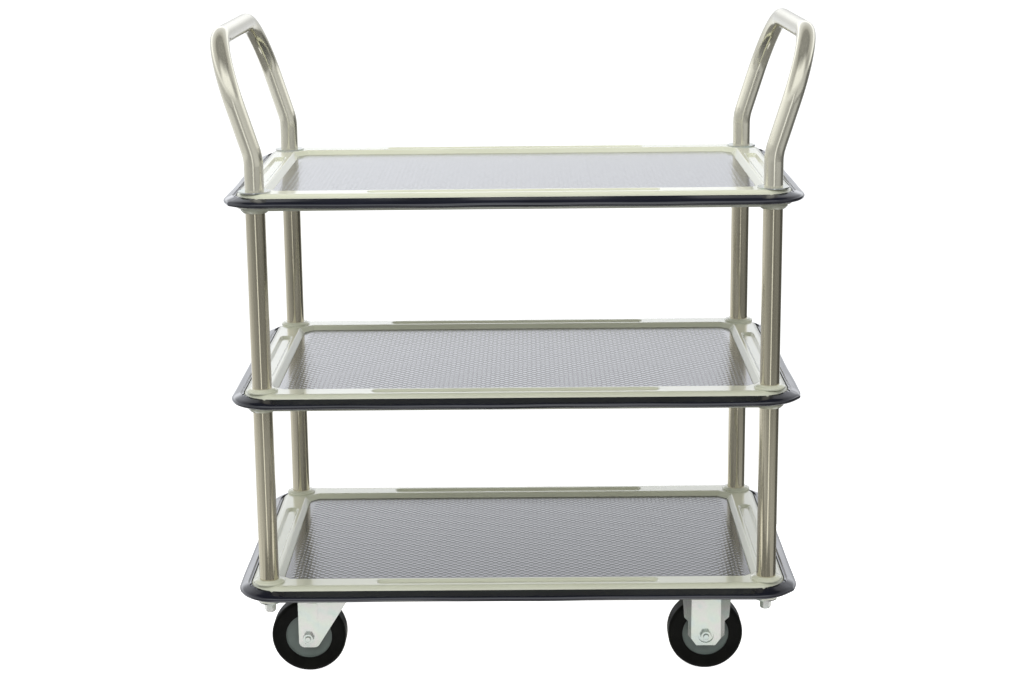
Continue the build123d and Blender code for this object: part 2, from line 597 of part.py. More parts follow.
def frame_parts():
    """Decks, mats, bumpers, collars, posts and handles."""
    pieces = {}
    for name, maker in (("deck", deck), ("mat", mat), ("bumper", bumper)):
        shape = maker()
        for level, height in DECKS.items():
            pieces[f"{level}_{name}"] = Pos(0, 0, height) * shape
    for level, height in DECKS.items():
        pieces[f"{level}_deck_head_collars"] = at_posts(head_collar(), height)
    for level in ("bottom", "middle"):
        pieces[f"{level}_deck_foot_collars"] = at_posts(foot_collar(), DECKS[level])
    for tier, low, high in (("lower", "bottom", "middle"), ("upper", "middle", "top")):
        for corner, (sx, sy) in CORNERS.items():
            pieces[f"{tier}_post_{corner}"] = Pos(sx * POST_X, sy * POST_Y, 0) * post(DECKS[low], DECKS[high])
    pieces["left_handle"] = handle(-1)
    pieces["right_handle"] = handle(1)
    for name, shape in tie_parts().items():
        pieces[name] = at_posts(shape)
    return pieces


def placed(shape, kind, side):
    """A caster piece moved to its place; the rear one is the front one's mirror image."""
    if side == "rear":
        shape = mirror(shape, Plane.XZ)
    end = -1 if kind == "swivel" else 1
    return Pos(end * CASTER_X, SIDES[side] * CASTER_Y, 0) * shape


def wheel_placed(shape, kind, side):
    """A piece modelled about Z, laid along the axle with its upper end outwards."""
    trail = -SWIVEL_OFFSET if kind == "swivel" else 0
    return placed(Pos(trail, 0, AXLE_Z) * Rot(90, 0, 0) * shape, kind, side)


def caster_parts():
    """Swivel casters under the left end, rigid ones under the right end, and what holds them."""
    pieces = {}
    for side in SIDES:
        pieces[f"{side}_swivel_plate"] = placed(swivel_plate(), "swivel", side)
        pieces[f"{side}_swivel_fork"] = placed(swivel_fork(), "swivel", side)
        pieces[f"{side}_swivel_balls"] = placed(swivel_balls(), "swivel", side)
        pieces[f"{side}_rigid_fork"] = placed(rigid_fork(), "rigid", side)
        for kind in ("swivel", "rigid"):
            pieces[f"{side}_{kind}_tyre"] = wheel_placed(tyre(), kind, side)
            pieces[f"{side}_{kind}_hub"] = wheel_placed(hub(), kind, side)
        for name, shape in axle_parts().items():
            pieces[f"{side}_swivel_{name}"] = wheel_placed(shape, "swivel", side)
    for name, shape in axle_parts().items():
        pieces[f"rigid_{name}s"] = Compound(children=[wheel_placed(shape, "rigid", side) for side in SIDES])
    pieces["swivel_kingpins"] = Compound(children=[placed(kingpin(), "swivel", side) for side in SIDES])
    pieces["swivel_race_cups"] = Compound(children=[placed(race_cup(), "swivel", side) for side in SIDES])
    stud = rod(STUD_DIAMETER / 2, CASTER_HEIGHT - STUD_LENGTH, CASTER_HEIGHT)
    nut = flange_nut(PLATE_LOW - NUT_HEIGHT)
    for name, shape in (("caster_studs", stud), ("caster_nuts", nut)):
        copies = [placed(Pos(x, y, 0) * shape, kind, side)
                  for kind in ("swivel", "rigid") for side in SIDES for x, y in stud_places()]
        pieces[name] = Compound(children=copies)
    return pieces


os.makedirs("parts", exist_ok=True)
for node, piece in {**frame_parts(), **caster_parts()}.items():
    export_step(piece, f"parts/{node}.step")
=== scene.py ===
import math

import bmesh
import bpy
from mathutils import Matrix, Vector


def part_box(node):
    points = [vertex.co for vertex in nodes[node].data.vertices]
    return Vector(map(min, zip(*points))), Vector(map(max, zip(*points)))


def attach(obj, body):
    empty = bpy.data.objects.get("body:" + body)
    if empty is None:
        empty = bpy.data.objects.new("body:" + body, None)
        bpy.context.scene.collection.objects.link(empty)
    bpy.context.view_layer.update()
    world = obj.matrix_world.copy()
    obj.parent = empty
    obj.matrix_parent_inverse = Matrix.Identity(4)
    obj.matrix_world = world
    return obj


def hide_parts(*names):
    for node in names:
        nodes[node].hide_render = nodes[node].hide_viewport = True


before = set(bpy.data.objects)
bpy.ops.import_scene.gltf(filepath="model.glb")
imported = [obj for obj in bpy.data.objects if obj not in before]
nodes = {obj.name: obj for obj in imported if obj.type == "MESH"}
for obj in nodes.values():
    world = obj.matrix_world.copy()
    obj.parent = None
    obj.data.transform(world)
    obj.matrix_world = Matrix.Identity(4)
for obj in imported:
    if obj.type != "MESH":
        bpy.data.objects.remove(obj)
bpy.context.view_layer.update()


# Caster forks, plates, axles and other plated fasteners
# Pressed and turned steel, zinc plated with a clear passivate that leaves faint pink, blue and green tints.
# The forks are bent from sheet, and the bolts, nuts, washers and studs are bought parts.
MM = 0.001
SIDES = ("front", "rear")
SWIVEL_PARTS = ("plate", "fork", "axle_sleeve", "axle_bolt", "axle_nut")
ZINC_TINTS = (  # share of the noise, colour
    (0.30, (0.55, 0.61, 0.58)),
    (0.45, (0.59, 0.63, 0.56)),
    (0.58, (0.62, 0.61, 0.58)),
    (0.72, (0.53, 0.60, 0.55)))


def finish(name, settings):
    """Material whose shader has these plain values; returns material, tree and shader."""
    material = bpy.data.materials.new(name)
    material.use_nodes = True
    shader = material.node_tree.nodes["Principled BSDF"]
    for socket, value in settings.items():
        shader.inputs[socket].default_value = value
    return material, material.node_tree, shader


def add(tree, kind, inputs, **settings):
    """Node with its settings and its inputs, each a plain value or another node's socket."""
    made = tree.nodes.new(kind)
    for name, value in settings.items():
        setattr(made, name, value)
    for name, value in inputs.items():
        if isinstance(value, bpy.types.NodeSocket):
            tree.links.new(value, made.inputs[name])
        else:
            made.inputs[name].default_value = value
    return made


def grain(tree, scale, detail=3.0, stretch=(1, 1, 1)):
    """Noise on the piece's own coordinates, in repeats per metre, drawn out along each axis."""
    place = add(tree, "ShaderNodeTexCoord", {}).outputs["Object"]
    drawn = add(tree, "ShaderNodeMapping", {"Vector": place, "Scale": stretch}).outputs["Vector"]
    noise = add(tree, "ShaderNodeTexNoise", {"Vector": drawn, "Scale": scale, "Detail": detail})
    return noise.outputs["Fac"]


def ramp(tree, factor, stops):
    """Colour that runs through (position, colour) stops."""
    made = add(tree, "ShaderNodeValToRGB", {"Fac": factor})
    elements = made.color_ramp.elements
    while len(elements) < len(stops):
        elements.new(0.5)
    for element, (position, colour) in zip(elements, stops):
        element.position = position
        element.color = (*colour, 1.0)
    return made.outputs["Color"]


def tint(tree, shader, factor, stops):
    """Base colour that runs through (position, colour) stops."""
    tree.links.new(ramp(tree, factor, stops), shader.inputs["Base Color"])


def gloss(tree, shader, factor, low, high):
    """Roughness that follows a factor, between two values."""
    made = add(tree, "ShaderNodeMapRange", {"Value": factor, "To Min": low, "To Max": high})
    tree.links.new(made.outputs["Result"], shader.inputs["Roughness"])


def relief(tree, shader, height, depth):
    """Fine surface relief of a depth in metres."""
    made = add(tree, "ShaderNodeBump", {"Height": height, "Strength": 1.0, "Distance": depth})
    tree.links.new(made.outputs["Normal"], shader.inputs["Normal"])


def dress(names, material):
    """Gives CAD nodes one finish."""
    for name in names:
        for place in nodes[name].material_slots:
            place.material = material


zinc, tree, shader = finish("zinc_plate", {"Metallic": 0.92})
tint(tree, shader, grain(tree, scale=38.0, detail=2.0), ZINC_TINTS)
gloss(tree, shader, grain(tree, scale=260.0), low=0.17, high=0.27)
relief(tree, shader, grain(tree, scale=900.0), depth=0.02 * MM)
plated = ["swivel_kingpins", "swivel_race_cups", "rigid_axle_sleeves", "rigid_axle_bolts", "rigid_axle_nuts",
          "caster_studs", "caster_nuts", "handle_plugs", "handle_washers", "tie_rods", "tie_flat_washers",
          "tie_spring_washers", "tie_cap_nuts"]
for side in SIDES:
    plated += [f"{side}_swivel_{part}" for part in SWIVEL_PARTS]
    plated.append(f"{side}_rigid_fork")
dress(plated, zinc)

# Swivel balls
# Ground and polished bearing steel, in two full rows round each kingpin.
# They run in grooves pressed into plate, fork and cup, with a film of grease.
BALL_TINTS = ((0.35, (0.42, 0.40, 0.36)), (0.65, (0.62, 0.61, 0.58)))
ball_steel, tree, shader = finish("ball_steel", {"Metallic": 1.0})
tint(tree, shader, grain(tree, scale=300.0), BALL_TINTS)
gloss(tree, shader, grain(tree, scale=500.0), low=0.08, high=0.22)
dress([f"{side}_swivel_balls" for side in SIDES], ball_steel)

# Tyres
# Solid black rubber moulded over the hub's ridge, with a smooth tread and rounded shoulders.
# The skin is that of the mould, a little uneven in its gloss.
WHEEL_KINDS = ("swivel", "rigid")
TYRE_TINTS = ((0.35, (0.0018, 0.0019, 0.0012)), (0.65, (0.0040, 0.0041, 0.0028)))
tyre_rubber, tree, shader = finish("tyre_rubber", {"Specular IOR Level": 0.10})
tint(tree, shader, grain(tree, scale=60.0), TYRE_TINTS)
gloss(tree, shader, grain(tree, scale=140.0), low=0.34, high=0.5)
relief(tree, shader, grain(tree, scale=1600.0), depth=0.03 * MM)
dress([f"{side}_{kind}_tyre" for side in SIDES for kind in WHEEL_KINDS], tyre_rubber)

# Hubs
# Grey-green nylon, moulded with a thin raised edge and a boss that runs on the axle sleeve.
# The face has the faint flow marks and the satin skin of the mould.
HUB_TINTS = ((0.3, (0.105, 0.130, 0.114)), (0.7, (0.140, 0.170, 0.150)))
hub_nylon, tree, shader = finish("hub_nylon", {"Specular IOR Level": 0.5})
tint(tree, shader, grain(tree, scale=45.0), HUB_TINTS)
gloss(tree, shader, grain(tree, scale=200.0), low=0.34, high=0.5)
relief(tree, shader, grain(tree, scale=700.0), depth=0.02 * MM)
dress([f"{side}_{kind}_hub" for side in SIDES for kind in WHEEL_KINDS], hub_nylon)

# Decks and collars
# Deep-drawn steel sheet with a rolled rim, a recess, stiffening grooves and a hemmed skirt; turned collars.
# All are stoved in gloss ivory enamel, with the slight orange peel of a sprayed coat.
LEVELS = ("bottom", "middle", "top")
ENAMEL_TINTS = ((0.3, (0.58, 0.59, 0.45)), (0.7, (0.62, 0.63, 0.49)))
enamel, tree, shader = finish("ivory_enamel", {"Coat Weight": 0.8, "Coat Roughness": 0.04})
tint(tree, shader, grain(tree, scale=9.0), ENAMEL_TINTS)
gloss(tree, shader, grain(tree, scale=70.0), low=0.16, high=0.26)
relief(tree, shader, grain(tree, scale=160.0, detail=1.0), depth=0.015 * MM)
painted = [f"{level}_deck" for level in LEVELS]
painted += [f"{level}_deck_head_collars" for level in LEVELS]
painted += [f"{level}_deck_foot_collars" for level in ("bottom", "middle")]
dress(painted, enamel)

# Posts
# Stainless tube between the collars, polished along its length, so fine bright and dark lines run up it.
# Each is held by the tie rod inside it.
POST_TINTS = ((0.3, (0.54, 0.50, 0.37)), (0.7, (0.65, 0.60, 0.45)))
post_steel, tree, shader = finish("brushed_stainless", {"Metallic": 0.90})
tint(tree, shader, grain(tree, scale=420.0, detail=4.0, stretch=(1, 1, 0.02)), POST_TINTS)
gloss(tree, shader, grain(tree, scale=600.0, stretch=(1, 1, 0.01)), low=0.10, high=0.16)
relief(tree, shader, grain(tree, scale=1400.0, detail=2.0, stretch=(1, 1, 0.006)), depth=0.004 * MM)
posts = []
for tier in ("lower", "upper"):
    for side in SIDES:
        posts += [f"{tier}_post_{side}_{end}" for end in ("left", "right")]
dress(posts, post_steel)

# Handles
# Steel tube bent to a hoop, nickel plated and lacquered, so it is as bright as the posts but paler.
# Its feet stand on plated washers and are drawn down by the tie rods.
NICKEL_TINTS = ((0.3, (0.75, 0.72, 0.58)), (0.7, (0.80, 0.77, 0.63)))
nickel, tree, shader = finish("lacquered_nickel", {
    "Metallic": 0.80, "Coat Weight": 0.10, "Coat Roughness": 0.08})
tint(tree, shader, grain(tree, scale=14.0), NICKEL_TINTS)
gloss(tree, shader, grain(tree, scale=90.0), low=0.13, high=0.19)
relief(tree, shader, grain(tree, scale=220.0, detail=1.0), depth=0.004 * MM)
dress(["left_handle", "right_handle"], nickel)

# Mats
# Sheet of dark grey vinyl laid in each recess, its face embossed with staggered rounded lozenges.
# The sheet is cut with sloping edges and cut corners to lie inside the recess wall.
PAD_PITCH_X = 12.2 * MM
PAD_PITCH_Y = 10.7 * MM
PAD_LENGTH = 10.3 * MM
PAD_WIDTH = 9.0 * MM
PAD_RISE = 0.2 * MM
PAD_CORNERS = 8
PAD_LOZENGE = 1.18          # 1 is a lozenge, 2 an oval
PAD_FLANK = 0.8             # share of the rise in the sloping flank
PAD_BROW = 0.62             # size of the flank's upper edge, of the lozenge
PAD_DOME = 0.2              # share of the rise above the flank
PAD_CROWN = 0.55            # size of the flat crown, of the brow
PAD_SINK = 0.02 * MM        # how deep the pads are set into the sheet
MAT_EDGE = 0.8 * MM         # rounding of the upper edge
MAT_EDGE_RINGS = ((1.0, 1.0), (1.3, 0.3), (2.0, 0.0))  # inset and drop from the face, in edge roundings
MAT_CORNER_CUT = 13.0 * MM
MAT_CUT_LOSS = 0.586        # how much the cut shortens with the outline's inset
MAT_CORNER_ROUND = 5.0 * MM
ROUND_REACH = 0.414         # where the rounding of an eighth of a turn begins, in radii
ROUND_STEPS = 4
EDGE_MARGIN = 1.0 * MM      # bare edge round the pads
MAT_TINTS = ((0.3, (0.020, 0.021, 0.024)), (0.7, (0.030, 0.031, 0.035)))
PAD_SIZES = ("Half Length", "Half Width", "Corner Sum", "Face Height", "Pitch X", "Pitch Y",
             "Pad Length", "Pad Width", "Pad Rise", "Lozenge")

mat_vinyl, tree, shader = finish("mat_vinyl", {
    "Specular IOR Level": 0.30, "Coat Weight": 1.0, "Coat Roughness": 0.10})
tint(tree, shader, grain(tree, scale=25.0), MAT_TINTS)
gloss(tree, shader, grain(tree, scale=120.0), low=0.18, high=0.26)
relief(tree, shader, grain(tree, scale=1500.0), depth=0.003 * MM)


def emboss_tree():
    """Joins a field of raised lozenges to the sheet that the modifier sits on."""
    made = bpy.data.node_groups.new("mat_emboss", "GeometryNodeTree")
    made.interface.new_socket("Sheet", in_out="INPUT", socket_type="NodeSocketGeometry")
    for name in PAD_SIZES:
        made.interface.new_socket(name, in_out="INPUT", socket_type="NodeSocketFloat")
    made.interface.new_socket("Finish", in_out="INPUT", socket_type="NodeSocketMaterial")
    made.interface.new_socket("Mat", in_out="OUTPUT", socket_type="NodeSocketGeometry")
    given = made.nodes.new("NodeGroupInput").outputs

    def sums(operation, *values):
        return add(made, "ShaderNodeMath", dict(enumerate(values)), operation=operation).outputs[0]

    def apart(vector):
        return add(made, "ShaderNodeSeparateXYZ", {0: vector}).outputs

    def whole_rows(length, pitch):
        return sums("ADD", sums("MULTIPLY", sums("CEIL", sums("DIVIDE", length, pitch)), 2.0), 1.0)

    columns = whole_rows(given["Half Length"], given["Pitch X"])
    rows = whole_rows(given["Half Width"], given["Pitch Y"])
    grid = add(made, "GeometryNodeMeshGrid", {
        "Size X": sums("MULTIPLY", sums("SUBTRACT", columns, 1.0), given["Pitch X"]),
        "Size Y": sums("MULTIPLY", sums("SUBTRACT", rows, 1.0), given["Pitch Y"]),
        "Vertices X": columns, "Vertices Y": rows}).outputs["Mesh"]
    half_step = add(made, "ShaderNodeCombineXYZ", {
        "X": sums("DIVIDE", given["Pitch X"], 2.0), "Y": sums("DIVIDE", given["Pitch Y"], 2.0)}).outputs[0]
    shifted = add(made, "GeometryNodeSetPosition", {"Geometry": grid, "Offset": half_step}).outputs[0]
    field = add(made, "GeometryNodeJoinGeometry", {}, label="staggered rows")
    for part in (grid, shifted):
        made.links.new(part, field.inputs[0])
    place = apart(add(made, "GeometryNodeInputPosition", {}).outputs[0])
    out_x = sums("ABSOLUTE", place["X"])
    out_y = sums("ABSOLUTE", place["Y"])
    half_length = sums("DIVIDE", given["Pad Length"], 2.0)
    half_width = sums("DIVIDE", given["Pad Width"], 2.0)
    past_end = sums("GREATER_THAN", out_x, sums("SUBTRACT", given["Half Length"], half_length))
    past_side = sums("GREATER_THAN", out_y, sums("SUBTRACT", given["Half Width"], half_width))
    past_corner = sums("GREATER_THAN", sums("ADD", out_x, out_y),
                       sums("SUBTRACT", given["Corner Sum"], half_length))
    outside = sums("MAXIMUM", sums("MAXIMUM", past_end, past_side), past_corner)
    kept = add(made, "GeometryNodeDeleteGeometry", {
        "Geometry": field.outputs[0], "Selection": outside}, domain="POINT")

    disc = add(made, "GeometryNodeMeshCircle", {"Vertices": PAD_CORNERS, "Radius": 1.0}, fill_type="NGON")
    round_place = add(made, "GeometryNodeInputPosition", {}).outputs[0]
    spot = apart(round_place)
    powers = [sums("POWER", sums("ABSOLUTE", spot[axis]), given["Lozenge"]) for axis in ("X", "Y")]
    reach = sums("POWER", sums("ADD", *powers), sums("DIVIDE", -1.0, given["Lozenge"]))
    drawn = add(made, "ShaderNodeVectorMath", {0: round_place, "Scale": reach}, operation="SCALE").outputs[0]
    lozenge = add(made, "GeometryNodeSetPosition", {"Geometry": disc.outputs[0], "Position": drawn})
    flank = add(made, "GeometryNodeExtrudeMesh", {
        "Mesh": lozenge.outputs[0], "Offset Scale": PAD_FLANK, "Individual": False})
    brow = add(made, "GeometryNodeScaleElements", {
        "Geometry": flank.outputs["Mesh"], "Selection": flank.outputs["Top"], "Scale": PAD_BROW})
    dome = add(made, "GeometryNodeExtrudeMesh", {
        "Mesh": brow.outputs[0], "Selection": flank.outputs["Top"], "Offset Scale": PAD_DOME,
        "Individual": False})
    crown = add(made, "GeometryNodeScaleElements", {
        "Geometry": dome.outputs["Mesh"], "Selection": dome.outputs["Top"], "Scale": PAD_CROWN})
    size = add(made, "ShaderNodeCombineXYZ", {
        "X": half_length, "Y": half_width, "Z": given["Pad Rise"]}).outputs[0]
    pad = add(made, "GeometryNodeTransform", {"Geometry": crown.outputs[0], "Scale": size}).outputs[0]
    pads = add(made, "GeometryNodeInstanceOnPoints", {"Points": kept.outputs[0], "Instance": pad}).outputs[0]
    lift = add(made, "ShaderNodeCombineXYZ", {"Z": given["Face Height"]}).outputs[0]
    raised = add(made, "GeometryNodeTransform", {"Geometry": pads, "Translation": lift}).outputs[0]
    joined = add(made, "GeometryNodeJoinGeometry", {}, label="sheet with pads")
    for part in (given["Sheet"], add(made, "GeometryNodeRealizeInstances", {"Geometry": raised}).outputs[0]):
        made.links.new(part, joined.inputs[0])
    flat = add(made, "GeometryNodeSetShadeSmooth", {"Geometry": joined.outputs[0], "Shade Smooth": False})
    coloured = add(made, "GeometryNodeSetMaterial", {
        "Geometry": flat.outputs[0], "Material": given["Finish"]})
    add(made, "NodeGroupOutput", {"Mat": coloured.outputs[0]})
    return made


def bend(start, corner, end, steps):
    """Points of a smooth bend from a start to an end, rounding the corner between them."""
    points = []
    for step in range(steps + 1):
        share = step / steps
        points.append(start * (1 - share) ** 2 + corner * 2 * share * (1 - share) + end * share ** 2)
    return points


def cut_corner_outline(half_x, half_y, cut, radius):
    """Points round a rectangle with cut, rounded corners, counter-clockwise."""
    corners = []
    for turn, (sx, sy) in enumerate(((1, 1), (-1, 1), (-1, -1), (1, -1))):
        ends = [(sx * half_x, sy * (half_y - cut)), (sx * (half_x - cut), sy * half_y)]
        corners += ends if turn % 2 == 0 else ends[::-1]
    points = []
    for index, corner in enumerate(corners):
        here = Vector(corner)
        back = (Vector(corners[index - 1]) - here).normalized()
        ahead = (Vector(corners[(index + 1) % len(corners)]) - here).normalized()
        start = here + back * radius * ROUND_REACH
        end = here + ahead * radius * ROUND_REACH
        points += bend(start, here, end, ROUND_STEPS)
    return points


def link(name, mesh):
    """Object at the origin for a finished mesh, light or camera."""
    made = bpy.data.objects.new(name, mesh)
    bpy.context.scene.collection.objects.link(made)
    return made


def loft_rings(rings, closed_ends=True):
    """Mesh skinned over rings of equally many points, each ring a closed loop."""
    made = bmesh.new()
    loops = [[made.verts.new(point) for point in ring] for ring in rings]
    for lower, upper in zip(loops, loops[1:]):
        for index in range(len(lower)):
            after = (index + 1) % len(lower)
            made.faces.new((lower[index], lower[after], upper[after], upper[index]))
    if closed_ends:
        made.faces.new(loops[0][::-1])
        made.faces.new(loops[-1])
    bmesh.ops.recalc_face_normals(made, faces=made.faces)
    mesh = bpy.data.meshes.new("skin")
    made.to_mesh(mesh)
    made.free()
    return mesh


def plain_mesh(piece):
    """Turns a piece's modifiers into its own mesh and removes them."""
    graph = bpy.context.evaluated_depsgraph_get()
    mesh = bpy.data.meshes.new_from_object(piece.evaluated_get(graph))
    piece.modifiers.clear()
    piece.data = mesh


emboss = emboss_tree()
flat_inset = MAT_EDGE_RINGS[-1][0] * MAT_EDGE
for level in LEVELS:
    low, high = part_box(f"{level}_mat")
    face = high.z - PAD_RISE
    steps = [(high.z - low.z, low.z)]
    steps += [(MAT_EDGE * inset + PAD_RISE, face - MAT_EDGE * drop) for inset, drop in MAT_EDGE_RINGS]
    rings = []
    for inset, height in steps:
        cut = MAT_CORNER_CUT - inset * MAT_CUT_LOSS
        outline = cut_corner_outline(high.x - inset, high.y - inset, cut, MAT_CORNER_ROUND)
        rings.append([(point.x, point.y, height) for point in outline])
    mat = link(f"{level}_embossed_mat", loft_rings(rings))
    sizes = {
        "Half Length": high.x - flat_inset - EDGE_MARGIN,
        "Half Width": high.y - flat_inset - EDGE_MARGIN,
        "Corner Sum": high.x + high.y - MAT_CORNER_CUT - 2 * EDGE_MARGIN,
        "Face Height": face - PAD_SINK,
        "Pitch X": PAD_PITCH_X,
        "Pitch Y": PAD_PITCH_Y,
        "Pad Length": PAD_LENGTH,
        "Pad Width": PAD_WIDTH,
        "Pad Rise": PAD_RISE,
        "Lozenge": PAD_LOZENGE,
        "Finish": mat_vinyl}
    modifier = mat.modifiers.new("emboss", "NODES")
    modifier.node_group = emboss
    for socket in emboss.interface.items_tree:
        if socket.in_out == "INPUT" and socket.name in sizes:
            modifier[socket.identifier] = sizes[socket.name]
    plain_mesh(mat)
    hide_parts(f"{level}_mat")
    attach(mat, "frame")

# Bumpers
# Soft vinyl extrusion, glossy and blue-black, stretched round each skirt: a rounded body and a thin lip with
# a slit between them. It lies a little wavy, is pinched to a fold at one corner, and its lip is nicked and
# puckered where it is bent round the corners.
PLATFORM_CORNER = 60.0 * MM  # plan radius outside the bumper
BUMPER_LIP = 2.6 * MM
BUMPER_SLIT = 1.2 * MM
BUMPER_SLIT_DEPTH = 2.5 * MM
SLIT_EDGE = 0.4 * MM        # bevel of the body's edge at the slit
LIP_FALL = 1.2 * MM         # slope of the lip's top
LIP_POINTS = 2              # last points of the section, on the lip's top
SHOULDER_FALL = math.tan(math.radians(20.0))
SHOULDER_END = 10.5 * MM    # how far out the sloping shoulder reaches
NOSE_HEIGHT = 4.0 * MM      # height of the widest line above the lower edge
NOSE_ROUND = 5.0 * MM       # width of the rounding under that line
NOSE_STEPS = 7
CREASE = math.radians(40.0)  # edges that turn more than this stay sharp
SKIRT_GAP = 0.15 * MM
STRAIGHT_STEP = 6.0 * MM
CORNER_STEPS = 44
STILL_WIDTH = 3.5 * MM      # lip and slit, which the waves, dents and folds don't move
WAVE_RISE = 0.45 * MM       # slow wave up and down
RISE_WAVES = 7
RIPPLE_SHARE = 0.6          # shorter wave on it
RIPPLE_WAVES = 17
WAVE_BULGE = 0.30 * MM      # slow wave in and out
BULGE_WAVES = 11
LEVEL_SHIFT = 1.7           # shift of the waves from one level to the next, in radians
DENT_DEPTH = 0.9 * MM
DENT_HALF_WIDTH = 13.0 * MM
DENTS = {"bottom": (0.105, 0.62), "middle": (0.18, 0.71), "top": (0.14, 0.55)}  # shares of the way round
FOLD_REACH = 2.4 * MM       # pinch outwards
FOLD_SINK = 2.2 * MM        # and down, at the shoulder
FOLD_HALF_WIDTH = 4.5 * MM
FOLDS = {"bottom": 0.829, "middle": 0.832, "top": 0.512}  # shares of the way round
NICK_HALF_WIDTH = 2.2 * MM
NICK_ANGLE = math.radians(17.0)
PUCKER = 0.12 * MM
PUCKER_LENGTH = 9.0 * MM
SEAM = 0.01 * MM            # points closer than this are joined
BUMPER_TINTS = ((0.3, (0.004, 0.005, 0.010)), (0.7, (0.008, 0.009, 0.016)))

bumper_vinyl, tree, shader = finish("bumper_vinyl", {"IOR": 1.55, "Coat Weight": 1.0, "Coat Roughness": 0.03})
tint(tree, shader, grain(tree, scale=18.0), BUMPER_TINTS)
gloss(tree, shader, grain(tree, scale=40.0), low=0.10, high=0.16)
relief(tree, shader, grain(tree, scale=300.0, detail=2.0, stretch=(1, 1, 3)), depth=0.008 * MM)


def bumper_section(reach, height):
    """Closed section as (outward, upward) points from the skirt's face and the bumper's lower edge."""
    slit_in = SKIRT_GAP + BUMPER_LIP
    slit_out = slit_in + BUMPER_SLIT
    top = Vector((slit_out + SLIT_EDGE, height))
    shoulder = Vector((SHOULDER_END, height - (SHOULDER_END - top.x) * SHOULDER_FALL))
    brow = Vector((reach, height - (reach - top.x) * SHOULDER_FALL))
    nose = Vector((reach, NOSE_HEIGHT))
    points = [Vector((SKIRT_GAP, 0.0))]
    points += bend(Vector((reach - NOSE_ROUND, 0.0)), Vector((reach, 0.0)), nose, NOSE_STEPS)
    points += bend(nose, brow, shoulder, NOSE_STEPS)[1:]
    points += [Vector(place) for place in (
        top, (slit_out, height - SLIT_EDGE), (slit_out, height - BUMPER_SLIT_DEPTH),
        (slit_in, height - BUMPER_SLIT_DEPTH), (slit_in, height - LIP_FALL), (SKIRT_GAP, height))]
    return points


def skirt_path(half_x, half_y, corner):
    """Places round the skirt as (point, outward direction, corner turn from 0 to 1 or None)."""
    stops = []
    for quarter, (sx, sy) in enumerate(((1, 1), (-1, 1), (-1, -1), (1, -1))):
        centre = Vector((sx * (half_x - corner), sy * (half_y - corner)))
        first = quarter * math.pi / 2
        for step in range(CORNER_STEPS + 1):
            angle = first + math.pi / 2 * step / CORNER_STEPS
            outward = Vector((math.cos(angle), math.sin(angle)))
            stops.append((centre + outward * corner, outward, step / CORNER_STEPS))
        run = 2 * (half_x if quarter % 2 == 0 else half_y) - 2 * corner
        along = Vector((-math.sin(first + math.pi / 2), math.cos(first + math.pi / 2)))
        count = int(run / STRAIGHT_STEP)
        corner_end, outward = stops[-1][:2]
        for step in range(1, count):
            stops.append((corner_end + along * run * step / count, outward, None))
    return stops


def wave(count, share, shift):
    """Height, between -1 and 1, of a wave that runs a whole count of times round the bumper."""
    return math.sin(2 * math.pi * count * share + shift)


for level in LEVELS:
    low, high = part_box(f"{level}_bumper")
    tall = high.z - low.z
    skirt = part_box(f"{level}_deck")[1]
    reach = high.x - skirt.x
    corner = PLATFORM_CORNER - reach
    section = bumper_section(reach, tall)
    path = skirt_path(skirt.x, skirt.y, corner)
    lengths = [0.0]
    for here, there in zip(path, path[1:]):
        lengths.append(lengths[-1] + (there[0] - here[0]).length)
    around = lengths[-1] + (path[0][0] - path[-1][0]).length
    shift = LEVELS.index(level) * LEVEL_SHIFT
    rings = []
    for (point, outward, turn), length in zip(path, lengths):
        share = length / around
        ripple = RIPPLE_SHARE * wave(RIPPLE_WAVES, share, 2 * shift)
        rise = WAVE_RISE * (wave(RISE_WAVES, share, shift) + ripple)
        bulge = WAVE_BULGE * (wave(BULGE_WAVES, share, 3 * shift) - 1.0)
        dent = 0.0
        for spot in DENTS[level]:
            dent += DENT_DEPTH * math.exp(-((share - spot) * around / DENT_HALF_WIDTH) ** 2)
        fold = math.exp(-abs(share - FOLDS[level]) * around / FOLD_HALF_WIDTH)
        nick = 0.0
        pucker = 0.0
        if turn is not None:
            angle = turn * math.pi / 2
            for nick_angle in (NICK_ANGLE, math.pi / 2 - NICK_ANGLE):
                away = abs(angle - nick_angle) * corner
                nick = max(nick, 1.0 - away / NICK_HALF_WIDTH)
            pucker = PUCKER * math.sin(math.pi * turn) * math.sin(2 * math.pi * length / PUCKER_LENGTH)
        ring = []
        for index, (out, up) in enumerate(section):
            body_share = max(0.0, (out - STILL_WIDTH) / reach)
            shoulder_share = max(0.0, up - NOSE_HEIGHT) / (tall - NOSE_HEIGHT)
            outwards = out + (bulge + fold * FOLD_REACH - dent * (up / tall)) * body_share
            upwards = up + (rise - fold * FOLD_SINK * shoulder_share) * body_share
            if index >= len(section) - LIP_POINTS:
                upwards += pucker - nick * BUMPER_SLIT_DEPTH
            place = point + outward * outwards
            ring.append((place.x, place.y, low.z + upwards))
        rings.append(ring)
    rings.append(rings[0])
    made = loft_rings(rings, closed_ends=False)
    welded = bmesh.new()
    welded.from_mesh(made)
    bmesh.ops.remove_doubles(welded, verts=welded.verts, dist=SEAM)
    bmesh.ops.recalc_face_normals(welded, faces=welded.faces)
    welded.to_mesh(made)
    welded.free()
    made.shade_smooth()
    made.set_sharp_from_angle(angle=CREASE)
    made.materials.append(bumper_vinyl)
    bumper = link(f"{level}_wavy_bumper", made)
    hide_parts(f"{level}_bumper")
    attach(bumper, "frame")

